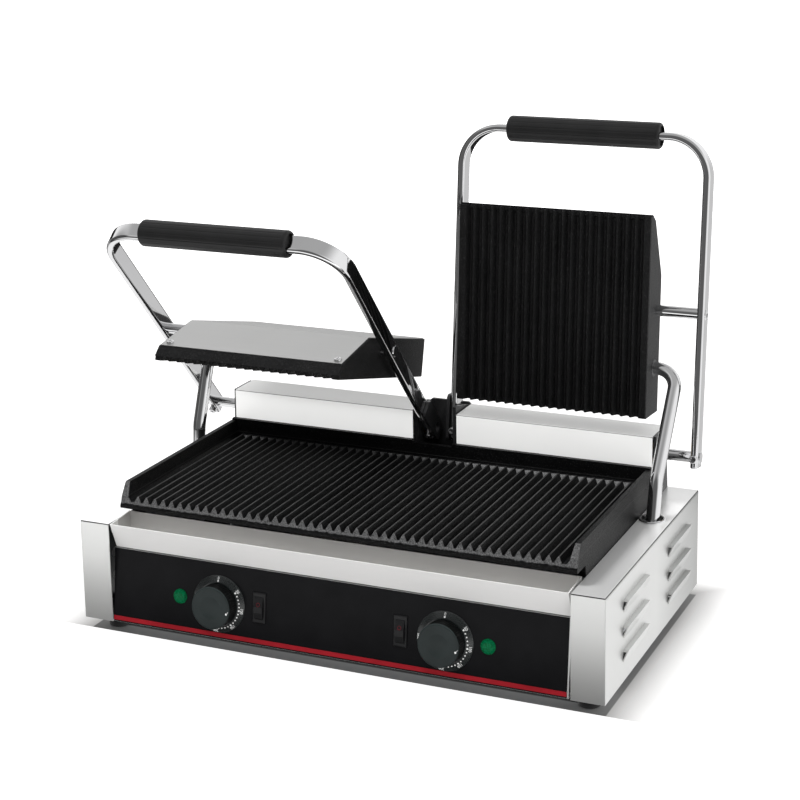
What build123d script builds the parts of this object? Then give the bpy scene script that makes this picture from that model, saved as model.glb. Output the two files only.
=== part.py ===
from build123d import *
import math
import os

# Double contact grill: one wide ribbed lower plate, two ribbed upper plates, each
# hung in a U-shaped handle frame that swings on a rear hinge shaft.
# Millimetres, +X right, +Y to the rear, +Z up.
# All pieces are drawn with y = 0 at the front of the end cheeks and are moved
# back by DEPTH_CENTRE at the end, so the origin is under the middle of the box.

# ---------------------------------------------------------------- dimensions
DEPTH_CENTRE = 164.125     # middle of the whole box along y

BODY_W = 570.0            # over the two end cheeks
BODY_D = 318.5            # cheek depth
CHEEK_W = 34.0            # width of one cheek
TOP_Z = 121.5             # top of the cheeks
FOOT_H = 15.0             # underside of the body above the table
SHEET = 1.2               # stainless sheet
FOOT_R = 12.5
FOOT_X, FOOT_Y0, FOOT_Y1 = 260.5, 28.0, 291.0

PANEL_HX = 248.5          # half width of the control panel
PANEL_LEFT = 1.8          # how much nearer its left end comes to the cheek
PANEL_TOP_Y = 9.0         # how far the panel's top edge lies behind its foot
PANEL_LEN = 78.5          # length of the panel up its slope
KNOB_X, LAMP_X, SWITCH_X = 124.2, 168.9, 77.5
CTRL_DX = -2.4            # the controls sit a little left of the middle
KNOB_S, LAMP_S, SWITCH_S = 36.3, 37.9, 39.2   # heights up the slope
KNOB_R, KNOB_FRONT = 21.8, 18.5
DIAL_R, DIAL_RI, DIAL_T = 29.7, 23.0, 3.2

TRAY_HX = 249.0
TRAY_BOT_Z, TRAY_BACK_Y = 94.2, 38.5

PLATE_HX = 250.3          # lower casting, half width at its foot
PLATE_Y0, PLATE_Y1 = 22.8, 266.0
FLOOR_Z0, FLOOR_Z1 = 131.8, 139.0
RIB_TIP_Z = 145.0
RIB_PITCH = 10.0
LOWER_RIBS = 47
WALL_TOP_Z = 157.6

HINGE_Y, HINGE_Z = 294.4, 165.8
SHAFT_R = 6.0
DRUM_R = 17.0             # spring drums on the hinge shaft
RUN = 0.05                # radial running clearance of a shaft in its bore
ARM_IN_X, ARM_OUT_X = 15.0, 288.0
BAR_T, BAR_W, BAR_R = 8.0, 20.0, 3.0
FRAME_L = 335.4           # hinge axis to the middle of the top bar
FRAME_BEND = 42.0
ARM_TAIL = 11.0
PIVOT_R = 152.2           # hinge axis to the plate pivot
GRIP_R, GRIP_L = 14.0, 169.0

LEFT_FRAME, LEFT_PLATE = 48.0, 14.3      # photo angles, degrees up from level
RIGHT_FRAME, RIGHT_PLATE = 96.0, 94.1

UP_X = 132.0              # middle of an upper plate
UP_HX = 107.0
UP_FRONT, UP_REAR = 104.0, 111.0
UP_FACE, UP_TOP = 30.0, 13.0             # pivot to rib tips, pivot to cover
UP_SLOPE_V = 35.7
UP_NOSE_V, UP_NOSE_N = 95.6, 13.2
UP_LIP = 4.6              # rib tips below the front lip
UP_RIB_SET = 1.6          # rib ends behind the front lip
UP_RIBS = 21

TUBE_R, TUBE_RI = 7.0, 5.8
TUBE_X = 265.0
TUBE_V, TUBE_N = -61.0, 5.0              # where the conduit enters the plate
RING_Y = 213.5
RING_R, RING_RI = 14.0, 11.2
RIGHT_BEND, RIGHT_LOW = (226.2, 159.3), (213.6, 115.0)
LEFT_BEND, LEFT_LOW = (214.6, 162.9), (208.4, 97.6)

BOX_X0, BOX_X1 = 26.0, 247.6             # hinge cover boxes
BOX_Y0, BOX_Y1, BOX_Z1 = 269.0, 314.0, 191.0

parts = {}


# ---------------------------------------------------------------- helpers
def bx(x0, x1, y0, y1, z0, z1):
    return Pos((x0 + x1) / 2, (y0 + y1) / 2, (z0 + z1) / 2) * Box(abs(x1 - x0), abs(y1 - y0), abs(z1 - z0))


def cx(x0, x1, y, z, r):
    return Pos((x0 + x1) / 2, y, z) * Rot(0, 90, 0) * Cylinder(r, abs(x1 - x0))


def cy(x, y0, y1, z, r):
    return Pos(x, (y0 + y1) / 2, z) * Rot(90, 0, 0) * Cylinder(r, abs(y1 - y0))


def cz(x, y, z0, z1, r):
    return Pos(x, y, (z0 + z1) / 2) * Cylinder(r, abs(z1 - z0))


def prism_x(pts, x0, x1):
    f = Plane.YZ * make_face(Polyline(*pts, close=True))
    return Pos(x0, 0, 0) * extrude(f, amount=x1 - x0, dir=(1, 0, 0))


def prism_y(pts, y0, y1):
    f = Plane.XZ * make_face(Polyline(*pts, close=True))
    return Pos(0, y0, 0) * extrude(f, amount=y1 - y0, dir=(0, 1, 0))


def capsule_x(x0, x1, yc, zc, length, height):
    f = Plane.YZ * (Pos(yc, zc, 0) * SlotOverall(length, height))
    return Pos(x0, 0, 0) * extrude(f, amount=x1 - x0, dir=(1, 0, 0))


def flip(s):
    return mirror(s, about=Plane.YZ)


def group(*solids):
    out = []
    for s in solids:
        out += list(s.solids())
    return Compound(children=out)


def one(s):
    # a cut or union that left a single solid is kept as that solid
    sol = s.solids()
    return sol[0] if len(sol) == 1 else Compound(children=list(sol))


def wire_through(points, radii):
    # straight runs joined by tangent arcs at the inner points
    v = [Vector(*p) for p in points]
    edges = []
    start = v[0]
    for i in range(1, len(v) - 1):
        a = (v[i - 1] - v[i]).normalized()
        b = (v[i + 1] - v[i]).normalized()
        ang = math.acos(max(-1.0, min(1.0, a.dot(b))))
        r = radii[i - 1]
        t = r / math.tan(ang / 2)
        p, q = v[i] + a * t, v[i] + b * t
        bis = (a + b).normalized()
        c = v[i] + bis * (r / math.sin(ang / 2))
        m = c - bis * r
        edges.append(Edge.make_line(start, p))
        edges.append(Edge.make_three_point_arc(p, m, q))
        start = q
    edges.append(Edge.make_line(start, v[-1]))
    return Wire(edges)


def tube_along(points, radii, r):
    w = wire_through(points, radii)
    face = Plane(origin=w @ 0, z_dir=w % 0) * Circle(r)
    return sweep(face, path=w)


# ---------------------------------------------------------------- end cheeks
HX = BODY_W / 2
INX = HX - CHEEK_W


def cheek():
    b = bx(INX, HX, 0, BODY_D, FOOT_H, TOP_Z)
    es = [e for e in b.edges() if e.center().X > INX + 1 and (
        abs(e.center().X - HX) < 0.1 and (abs(e.center().Y) < 0.1 or abs(e.center().Y - BODY_D) < 0.1 or abs(e.center().Z - TOP_Z) < 0.1)
        or abs(e.center().Z - TOP_Z) < 0.1)]
    b = fillet(es, 1.4)
    b -= bx(INX - 1, HX - SHEET, SHEET, BODY_D - SHEET, FOOT_H - 1, TOP_Z - SHEET)
    # foot flanges at the front and the rear
    b += bx(INX + 1.0, HX - 0.5, 0.6, 64, FOOT_H, FOOT_H + 1.5)
    b += bx(INX + 1.0, HX - 0.5, 271, BODY_D - 0.6, FOOT_H, FOOT_H + 1.5)
    for y in (FOOT_Y0, FOOT_Y1):
        b -= cz(FOOT_X, y, FOOT_H - 1, FOOT_H + 3, 2.6)
    # hole of the conduit ring
    b -= cz(TUBE_X, RING_Y, TOP_Z - 5, TOP_Z + 5, 12.4)
    for zc in (92.0, 65.6, 40.8):
        # both columns are pressed outwards, highest along the upper edge and open at the front end
        for yc, ln in ((92.0, 78.0), (241.5, 76.0)):
            h, out = 13.0, 5.0
            b -= capsule_x(HX - 2.4, HX + 0.6, yc, zc, ln - 3.2, h - 3.2)
            hood = capsule_x(HX - 1.0, HX + out + 1.0, yc, zc, ln, h)
            hood -= prism_y([(HX + 0.25, zc - h / 2 - 0.3), (HX + out, zc + h / 2 + 0.3), (HX + out + 3, zc + h / 2 + 0.3), (HX + out + 3, zc - h / 2 - 0.3)], yc - 60, yc + 60)
            core = capsule_x(HX - 2.6, HX + out + 1.0, yc, zc, ln - 2.6, h - 2.6)
            core -= prism_y([(HX - 0.95, zc - h / 2 - 0.3), (HX + out - 1.2, zc + h / 2 + 0.3), (HX + out + 3, zc + h / 2 + 0.3), (HX + out + 3, zc - h / 2 - 0.3)], yc - 60, yc + 60)
            b += hood
            b -= core
            b -= prism_y([(HX + 0.05, zc - 2.6), (HX + 0.5, zc - 2.6), (HX + 3.2, zc + 5.1), (HX + 0.05, zc + 5.1)], yc - ln / 2 - 1.0, yc - ln / 2 + 7.0)
    # seam where the side sheet meets the folded top
    b -= bx(HX - 0.5, HX + 1, 1.5, BODY_D - 1.5, TOP_Z - 2.15, TOP_Z - 1.7)
    return one(b)


rc = cheek()
parts["right_cheek"] = rc
parts["left_cheek"] = flip(rc)

# ---------------------------------------------------------------- chassis
ch = bx(-250.2, 250.2, 12.4, 316, FOOT_H, FOOT_H + SHEET)
for sx in (1, -1):
    ch += bx(sx * 249.0, sx * 250.2, 44.4, 316, FOOT_H, 119.4)
    ch += bx(sx * 237.5, sx * 250.2, 44.4, 266, 118.2, 119.4)
    ch -= bx(sx * 248, sx * 252, 150, 250, 24, 60)
# air slots in the pan
for i in range(9):
    ch -= bx(-90 + i * 22 - 4, -90 + i * 22 + 4, 120, 210, FOOT_H - 1, FOOT_H + 3)
parts["chassis"] = one(ch)

# rear wall with the deck that carries the hinge gear
rp = bx(-250.4, 250.4, BODY_D - SHEET, BODY_D, FOOT_H + SHEET + 0.2, TOP_Z)
rp += bx(-250.4, 250.4, 267.2, BODY_D, TOP_Z - SHEET, TOP_Z)
for i in range(10):
    for sx in (-1, 1):
        x = sx * (60 + i * 14)
        if not (sx < 0 and i > 6):
            rp -= bx(x - 2.5, x + 2.5, BODY_D - 4, BODY_D + 2, 62, 102)
rp -= cy(-190, BODY_D - 4, BODY_D + 4, 48, 8.0)
parts["rear_panel"] = one(rp)

# shelf and wall behind the drip tray
fb = bx(-247.5, 247.5, 43.0, 44.2, FOOT_H + SHEET, 118.0)
fb += bx(-247.5, 247.5, 13.5, 44.0, TRAY_BOT_Z - 1.6, TRAY_BOT_Z - 0.4)
parts["front_bulkhead"] = one(fb)

# ---------------------------------------------------------------- control panel
LEAN = math.degrees(math.asin(PANEL_TOP_Y / PANEL_LEN))
PANEL = Pos(0, 1.4, FOOT_H + 0.3) * Rot(-LEAN, 0, 0)   # local: x, outward = -y, up the slope = z

pan = bx(-PANEL_HX - PANEL_LEFT, PANEL_HX, 0, SHEET, 0, PANEL_LEN)
pan += bx(-PANEL_HX, PANEL_HX, 0, 9.0, 0, SHEET)
film = bx(-PANEL_HX - PANEL_LEFT + 0.2, PANEL_HX - 1.6, -0.6, 0, 0.4, PANEL_LEN - 0.4)
for sx in (-1, 1):
    kx, lx, wx = (CTRL_DX + sx * d for d in (KNOB_X, LAMP_X, SWITCH_X))
    for tool in (cy(kx, -5, 5, KNOB_S, 5.2), cy(lx, -5, 5, LAMP_S, 5.6),
                 bx(wx - 6.0, wx + 6.0, -5, 5, SWITCH_S - 13.2, SWITCH_S + 13.2)):
        pan -= tool
        film -= tool
parts["control_panel"] = PANEL * one(pan)
parts["panel_overlay"] = PANEL * one(film)
parts["panel_trim_strip"] = PANEL * bx(-PANEL_HX - PANEL_LEFT + 0.2, PANEL_HX - 1.6, -1.0, -0.6, 1.9, 6.4)

dials, stats, lamps, sw = [], [], [], []
for sx in (-1, 1):
    kx, lx, wx = (CTRL_DX + sx * d for d in (KNOB_X, LAMP_X, SWITCH_X))
    # dial: a flat cone round the knob
    d = cy(kx, -1.2, -0.6, KNOB_S, DIAL_R)
    d += Pos(kx, -1.2, KNOB_S) * Rot(90, 0, 0) * Cone(DIAL_R, DIAL_RI, DIAL_T - 0.6, align=(Align.CENTER, Align.CENTER, Align.MIN))
    d -= cy(kx, -6, 1, KNOB_S, 5.2)
    dials.append(d)
    # thermostat: can, threaded neck
    t = bx(kx - 20, kx + 20, SHEET + 0.0, SHEET + 27, KNOB_S - 19, KNOB_S + 19)
    t = fillet(t.edges().filter_by(Axis.Y), 3)
    t += cy(kx, -1.2, SHEET + 1, KNOB_S, 5.1)
    t -= cy(kx, -6, 22, KNOB_S, 3.0 + RUN)
    stats.append(t)
    # lamp: flat domed lens outside, barrel inside
    l = cy(lx, -1.6, -0.6, LAMP_S, 7.7)
    l += cy(lx, -1.0, 24, LAMP_S, 5.4)
    dome = Pos(lx, -1.6, LAMP_S) * Rot(90, 0, 0) * Cylinder(7.1, 1.7, align=(Align.CENTER, Align.CENTER, Align.MIN))
    dome = fillet([e for e in dome.edges() if abs(e.center().Y + 3.3) < 0.01], 1.4)
    l += dome
    lamps.append(l)
    # rocker switch frame and can
    s = bx(wx - 7.2, wx + 7.2, -2.4, -0.6, SWITCH_S - 15.6, SWITCH_S + 15.6)
    s = fillet([e for e in s.edges() if abs(e.center().Y + 2.4) < 0.01], 1.1)
    s += bx(wx - 5.8, wx + 5.8, -1.0, 22, SWITCH_S - 13.0, SWITCH_S + 13.0)
    s -= bx(wx - 5.0, wx + 5.0, -6, 10, SWITCH_S - 11.6, SWITCH_S + 11.6)
    sw.append(s)
parts["dial_rings"] = PANEL * group(*dials)
parts["thermostats"] = PANEL * group(*stats)
parts["indicator_lamps"] = PANEL * group(*lamps)
parts["switch_bodies"] = PANEL * group(*sw)


def knob(kx):
    y0 = -0.6 - DIAL_T - 0.5
    k = cy(kx, -KNOB_FRONT, y0, KNOB_S, KNOB_R)
    k = chamfer([e for e in k.edges() if abs(e.center().Y + KNOB_FRONT) < 0.01], 0.9, 1.0)
    # finely ribbed side
    n = 60
    cut = []
    for i in range(n):
        a = 2 * math.pi * i / n
        cut.append(cy(kx + (KNOB_R + 0.35) * math.cos(a), -KNOB_FRONT + 3.0, y0 + 1, KNOB_S + (KNOB_R + 0.35) * math.sin(a), 0.85))
    k = k.cut(*cut)
    # shallow dish in the face
    k -= Pos(kx, -KNOB_FRONT - math.sqrt(80.0 ** 2 - 11.5 ** 2), KNOB_S) * Sphere(80.0)
    k -= cy(kx, -8.0, y0 + 3, KNOB_S, 11.0)
    k -= cy(kx, -KNOB_FRONT + 4.0, y0 + 3, KNOB_S, 3.0)
    return one(k)


for nm, sx in (("left", -1), ("right", 1)):
    kx, wx = CTRL_DX + sx * KNOB_X, CTRL_DX + sx * SWITCH_X
    parts[nm + "_knob"] = PANEL * knob(kx)
    parts[nm + "_knob_shaft"] = PANEL * one(cy(kx, -KNOB_FRONT + 4.0, 21.5, KNOB_S, 3.0))
    # rocker: a convex button that tips about its middle, upper half pressed in
    pr = [(-0.4, 11.2), (-2.0, 11.2), (-4.2, 6.0), (-5.3, 1.5), (-5.1, -4.5), (-3.6, -10.7), (-0.4, -11.2), (4.5, -5.0), (4.5, 5.0)]
    r = prism_x([(y, z + SWITCH_S) for y, z in pr], wx - 4.7, wx + 4.7)
    parts[nm + "_rocker"] = PANEL * one(r)

# ---------------------------------------------------------------- drip tray
to = [(0.3, TOP_Z), (11.0, TRAY_BOT_Z), (TRAY_BACK_Y, TRAY_BOT_Z), (TRAY_BACK_Y, TOP_Z + 2.3), (TRAY_BACK_Y - 1, TOP_Z + 2.3),
      (TRAY_BACK_Y - 1, TRAY_BOT_Z + 1), (11.7, TRAY_BOT_Z + 1), (1.4, TOP_Z)]
tray = prism_x(to, -TRAY_HX, TRAY_HX)
te = [(0.3, TOP_Z), (11.0, TRAY_BOT_Z), (TRAY_BACK_Y, TRAY_BOT_Z), (TRAY_BACK_Y, TOP_Z + 2.3)]
for sx in (1, -1):
    tray += prism_x(te, min(sx * (TRAY_HX - 1), sx * TRAY_HX), max(sx * (TRAY_HX - 1), sx * TRAY_HX))
parts["drip_tray"] = one(tray)

# ---------------------------------------------------------------- lower plate
# cross-section across x: floor with a sawtooth top between two walls
prof = [(-PLATE_HX, 119.6), (-PLATE_HX + 1.5, WALL_TOP_Z), (-PLATE_HX + 6.5, WALL_TOP_Z), (-PLATE_HX + 9.0, FLOOR_Z1 + 4.0), (-PLATE_HX + 12.4, FLOOR_Z1)]
x0 = -(LOWER_RIBS - 1) / 2 * RIB_PITCH
for i in range(LOWER_RIBS):
    x = x0 + i * RIB_PITCH
    prof += [(x - 3.9, FLOOR_Z1), (x - 0.75, RIB_TIP_Z), (x + 0.75, RIB_TIP_Z), (x + 3.9, FLOOR_Z1)]
prof += [(PLATE_HX - 12.4, FLOOR_Z1), (PLATE_HX - 9.0, FLOOR_Z1 + 4.0), (PLATE_HX - 6.5, WALL_TOP_Z), (PLATE_HX - 1.5, WALL_TOP_Z), (PLATE_HX, 119.6)]
prof += [(PLATE_HX - 9.0, 119.6), (PLATE_HX - 11.0, FLOOR_Z0), (-PLATE_HX + 11.0, FLOOR_Z0), (-PLATE_HX + 9.0, 119.6)]
lp = prism_y(prof, PLATE_Y0, PLATE_Y1)
# flat gutter behind the ribs and the rear wall
lp -= bx(-238, 238, 252.0, 270, FLOOR_Z1 - 0.6, RIB_TIP_Z + 2)
lp += prism_x([(258.6, FLOOR_Z0), (260.4, WALL_TOP_Z + 2.0), (265.2, WALL_TOP_Z + 2.0), (PLATE_Y1, 122.2), (259.0, 122.2)], -PLATE_HX + 2.0, PLATE_HX - 2.0)
lp -= bx(-24, 24, 255, 270, 156.4, 165)
# walls and floor slope back at the front, the foot of the walls starts further back
lp -= prism_x([(PLATE_Y0 - 1, FLOOR_Z0 + 1.2), (PLATE_Y0 + 1.8, FLOOR_Z1), (PLATE_Y0 + 3.4, RIB_TIP_Z), (34.0, WALL_TOP_Z + 0.5), (PLATE_Y0 - 1, WALL_TOP_Z + 0.5)], -300, 300)
lp -= prism_x([(PLATE_Y0 - 1, 118), (PLATE_Y0 - 1, FLOOR_Z0 + 0.4), (PLATE_Y0 + 1.5, FLOOR_Z0), (46.5, FLOOR_Z0), (46.5, 118)], -300, 300)
parts["lower_grill_plate"] = one(lp)

# two tubular heaters under the floor, on a folded reflector sheet
HZ = FLOOR_Z0 - 4.6


def lower_heater(sx):
    xs = [22, 62, 102, 142, 182, 222]
    pts = [(sx * xs[0], 246, HZ)]
    y = (70, 236)
    for i, x in enumerate(xs):
        a, b = (y[1], y[0]) if i % 2 == 0 else (y[0], y[1])
        if i:
            pts.append((sx * x, a, HZ))
        pts.append((sx * x, b, HZ)) if i < len(xs) - 1 else pts.append((sx * x, 246, HZ))
    return tube_along(pts, [15.0] * (len(pts) - 2), 4.0)


parts["lower_heating_elements"] = group(lower_heater(1), lower_heater(-1))
rf = bx(-234, 234, 56, 252, HZ - 5.1, HZ - 4.1)
for sx in (-1, 1):
    rf += bx(sx * 233, sx * 234, 60, 100, HZ - 5.1, FLOOR_Z0 - 0.1)
    rf += bx(sx * 233, sx * 234, 200, 240, HZ - 5.1, FLOOR_Z0 - 0.1)
parts["lower_reflector"] = one(rf)

# ---------------------------------------------------------------- hinge gear on the deck
def cover_box():
    b = bx(BOX_X0, BOX_X1, BOX_Y0, BOX_Y1, TOP_Z + 0.1, BOX_Z1)
    b = fillet([e for e in b.edges() if abs(e.center().Z - BOX_Z1) < 0.1 and abs(e.center().X - (BOX_X0 + BOX_X1) / 2) < 1], 1.4)
    b -= bx(BOX_X0 - 1, BOX_X1 + 1, BOX_Y0 + 1.0, BOX_Y1 - 1.0, TOP_Z - 1, BOX_Z1 - 1.0)
    # seam of the folded lid along the front
    b -= bx(BOX_X0 - 1, BOX_X1 + 1, BOX_Y0 - 1, BOX_Y0 + 0.4, BOX_Z1 - 2.1, BOX_Z1 - 1.7)
    return one(b)


parts["right_hinge_cover"] = cover_box()
parts["left_hinge_cover"] = flip(cover_box())

# outer bearing plates, standing on the deck
def outer_bracket():
    p = prism_x([(270.4, TOP_Z), (316.8, TOP_Z), (312.4, 158), (310, BOX_Z1 - 0.5), (272.5, BOX_Z1 - 0.5)], 247.9, 250.9)
    p += bx(238.5, 250.9, 272.5, 312.5, TOP_Z, TOP_Z + 2.5)
    p -= cx(240, 255, HINGE_Y, HINGE_Z, 9.0)
    return one(p)


ob = outer_bracket()
parts["outer_hinge_brackets"] = group(ob, flip(ob))

# centre bracket: two lugs and a rear plate with clipped corners
cb = bx(20.8, 25.8, 271.5, 315.0, TOP_Z, 190.2) + bx(-25.8, -20.8, 271.5, 315.0, TOP_Z, 190.2)
cb += prism_y([(-25.8, TOP_Z), (25.8, TOP_Z), (25.8, 190.2), (23.0, 193.0), (-20.5, 193.0), (-25.8, 189.0)], 312.0, 315.0)
cb += bx(-25.8, 25.8, 274.0, 315.0, TOP_Z, TOP_Z + 4)
# a raised ear on the right lug, falling to the rear
cb += prism_x([(271.5, 188.0), (315.0, 188.0), (315.0, 190.2), (277.0, 198.4), (271.5, 198.4)], 20.8, 24.5)
cb -= cx(-30, 30, HINGE_Y, HINGE_Z, 9.0)
parts["centre_bracket"] = one(cb)

bushes = []
for sx in (1, -1):
    b = cx(sx * 246.6, sx * 251.6, HINGE_Y, HINGE_Z, 9.0) + cx(sx * 245.4, sx * 247.9, HINGE_Y, HINGE_Z, 11.0)
    b -= cx(sx * 240, sx * 256, HINGE_Y, HINGE_Z, SHAFT_R + RUN)
    bushes.append(b)
    b = cx(sx * 20.4, sx * 27.0, HINGE_Y, HINGE_Z, 9.0) + cx(sx * 25.8, sx * 28.6, HINGE_Y, HINGE_Z, 11.0)
    b -= cx(sx * 18, sx * 32, HINGE_Y, HINGE_Z, SHAFT_R + RUN)
    bushes.append(b)
parts["hinge_bushes"] = group(*bushes)


# counterbalance springs, one wire each, foot hooked on the deck
def spring():
    turns, pitch, r, wr = 9, 6.4, 14.5, 2.4
    h = Helix(pitch=pitch, height=pitch * turns, radius=r)
    c = sweep(Plane(origin=h @ 0, z_dir=h % 0) * Circle(wr), path=h)
    c = Pos(110, HINGE_Y, HINGE_Z) * Rot(0, 90, 0) * c
    e = Pos(110, HINGE_Y, HINGE_Z) * Rot(0, 90, 0) * (Vertex(*(h @ 0)))
    p = e.center()
    foot = cz(p.X, p.Y, TOP_Z + 0.05, p.Z, wr) + Pos(p.X, p.Y, p.Z) * Sphere(wr)
    return one(c + foot)


sp = spring()
parts["counterbalance_springs"] = group(sp, flip(sp))

# ---------------------------------------------------------------- conduit rings, feet, rear fittings
rings = []
for sx in (1, -1):
    g = cz(sx * TUBE_X, RING_Y, TOP_Z, TOP_Z + 2.0, RING_R)
    g = fillet([e for e in g.edges() if abs(e.center().Z - TOP_Z - 2.0) < 0.01], 1.4)
    g += cz(sx * TUBE_X, RING_Y, TOP_Z - 1.0, TOP_Z + 0.5, 12.3)
    g -= cz(sx * TUBE_X, RING_Y, TOP_Z - 5, TOP_Z + 5, RING_RI)
    rings.append(g)
parts["conduit_rings"] = group(*rings)

feet, fscr = [], []
for sx in (1, -1):
    for y in (FOOT_Y0, FOOT_Y1):
        f = Pos(sx * FOOT_X, y, FOOT_H / 2) * Cone(FOOT_R - 1.6, FOOT_R, FOOT_H)
        f = fillet([e for e in f.edges() if e.center().Z < 0.1], 1.2)
        f -= cz(sx * FOOT_X, y, -1, 6, 5.2)
        f -= cz(sx * FOOT_X, y, -1, FOOT_H + 1, 2.5)
        feet.append(f)
        s = cz(sx * FOOT_X, y, 3.2, 6.0, 4.4) + cz(sx * FOOT_X, y, 3.2, FOOT_H + 6, 2.4)
        s -= bx(sx * FOOT_X - 3.2, sx * FOOT_X + 3.2, y - 0.5, y + 0.5, 2.8, 4.2)
        fscr.append(s)
parts["rubber_feet"] = group(*feet)
parts["foot_screws"] = group(*fscr)

gl = cy(-190, BODY_D - 8, BODY_D + 7, 48, 7.9) + cy(-190, BODY_D, BODY_D + 3.5, 48, 11.5)
gl += Pos(-190, BODY_D + 7, 48) * Rot(-90, 0, 0) * Cone(9.5, 7.0, 11, align=(Align.CENTER, Align.CENTER, Align.MIN))
gl -= cy(-190, BODY_D - 20, BODY_D + 30, 48, 4.2)
parts["cable_gland"] = one(gl)
gn = extrude(Plane(origin=(-190, BODY_D - SHEET, 48), z_dir=(0, -1, 0)) * RegularPolygon(11.5, 6), amount=5)
gn -= cy(-190, BODY_D - 20, BODY_D + 5, 48, 7.95)
parts["gland_locknut"] = one(gn)

tb = bx(-178, -98, 262, 284, FOOT_H + SHEET, FOOT_H + SHEET + 6)
for i in range(6):
    xx = -172 + i * 13.6
    tb += bx(xx - 5, xx + 5, 264, 282, FOOT_H + SHEET + 5, FOOT_H + SHEET + 19)
    tb -= cz(xx, 273, FOOT_H + SHEET + 13, FOOT_H + SHEET + 22, 2.6)
    tb -= cy(xx, 255, 290, FOOT_H + SHEET + 9, 2.2)
parts["terminal_block"] = one(tb)

scr = []
for x in (-236, -90, 90, 236):
    s = Pos(x, BODY_D, 30) * Rot(-90, 0, 0) * Cone(3.6, 2.5, 2.2, align=(Align.CENTER, Align.CENTER, Align.MIN))
    s -= bx(x - 1.9, x + 1.9, BODY_D + 1.2, BODY_D + 3, 29.55, 30.45) + bx(x - 0.45, x + 0.45, BODY_D + 1.2, BODY_D + 3, 28.1, 31.9)
    scr.append(s)
parts["rear_screws"] = group(*scr)


# ---------------------------------------------------------------- lids
# A lid is drawn level: v runs forward (-y) from its axis, n runs down (-z).
def pose_frame(s, ang):
    return Pos(0, HINGE_Y, HINGE_Z) * Rot(-ang, 0, 0) * s


def pivot_at(ang):
    a = math.radians(ang)
    return HINGE_Y - PIVOT_R * math.cos(a), HINGE_Z + PIVOT_R * math.sin(a)


def pose_plate(s, fang, pang):
    y, z = pivot_at(fang)
    return Pos(0, y, z) * Rot(-pang, 0, 0) * s


def handle_frame():
    pts = [(ARM_IN_X, ARM_TAIL, 0), (ARM_IN_X, -FRAME_L, 0), (ARM_OUT_X, -FRAME_L, 0), (ARM_OUT_X, ARM_TAIL, 0)]
    w = wire_through(pts, [FRAME_BEND, FRAME_BEND])
    face = Plane(origin=w @ 0, x_dir=(1, 0, 0), z_dir=w % 0) * RectangleRounded(BAR_T, BAR_W, BAR_R)
    f = sweep(face, path=w)
    for x in (ARM_IN_X, ARM_OUT_X):
        f -= cx(x - 6, x + 6, 0, 0, SHAFT_R + RUN)
        f -= cx(x - 6, x + 6, -PIVOT_R, 0, SHAFT_R + RUN)
        f -= cz(x, 0, -15, -5, 2.6)
    return one(f)


def grip():
    xm = (ARM_IN_X + ARM_OUT_X) / 2
    g = cx(xm - GRIP_L / 2, xm + GRIP_L / 2, -FRAME_L, 0, GRIP_R)
    g = fillet(g.edges().filter_by(GeomType.CIRCLE), 3.0)
    n = 32
    cut = []
    for i in range(n):
        a = 2 * math.pi * (i + 0.5) / n
        cut.append(cx(xm - GRIP_L / 2 + 4, xm + GRIP_L / 2 - 4, -FRAME_L + (GRIP_R + 0.55) * math.cos(a), (GRIP_R + 0.55) * math.sin(a), 0.9))
    g = g.cut(*cut)
    hole = extrude(Plane(origin=(xm - GRIP_L / 2 - 1, -FRAME_L, 0), x_dir=(0, 1, 0), z_dir=(1, 0, 0)) * RectangleRounded(BAR_T + 0.1, BAR_W + 0.1, BAR_R + 0.05), amount=GRIP_L + 2)
    g -= hole
    # shallow counterbore at each end
    g -= cx(xm - GRIP_L / 2 - 1, xm - GRIP_L / 2 + 2.2, -FRAME_L, 0, 10.6)
    g -= cx(xm + GRIP_L / 2 - 2.2, xm + GRIP_L / 2 + 1, -FRAME_L, 0, 10.6)
    return one(g)


def clamp_bolts():
    out = []
    for x in (ARM_IN_X, ARM_OUT_X):
        b = cz(x, 0, -10.0 - 4.6, -10.0, 4.2)
        b = fillet([e for e in b.edges() if e.center().Z < -14.5], 1.2)
        b -= extrude(Plane(origin=(x, 0, -15), z_dir=(0, 0, 1)) * RegularPolygon(2.4, 6), amount=2.6)
        b += cz(x, 0, -10.5, -6.3, 2.5)
        out.append(b)
    return group(*out)


def hinge_shaft():
    s = cx(9.6, 293.4, 0, 0, SHAFT_R)
    # drums that take up the counterbalance spring
    for a, b in ((30.0, 106.0), (172.0, 243.0)):
        s += cx(a, b, 0, 0, DRUM_R)
    return one(s)


def hinge_channel():
    # black channel on the inner arm's tail, open towards the arm
    c = bx(7.2, 10.7, -40, 12, -10.5, 10.5)
    c = fillet(c.edges().filter_by(Axis.X), 5.0)
    c -= cx(6, 12, 0, 0, SHAFT_R + RUN)
    return one(c)


def cross_shaft():
    # ends stand a little proud of the arms; a socket in the outer end
    a, b = ARM_IN_X - BAR_T / 2 - 0.9, ARM_OUT_X + BAR_T / 2 + 0.7
    s = cx(a, b, 0, 0, SHAFT_R)
    s = fillet([e for e in s.edges().filter_by(GeomType.CIRCLE)], 0.5)
    s -= extrude(Plane(origin=(b - 4.0, 0, 0), z_dir=(1, 0, 0)) * RegularPolygon(3.6, 6), amount=6.0)
    return one(s)


X0, X1 = UP_X - UP_HX, UP_X + UP_HX
WALL = 8.0


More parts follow.
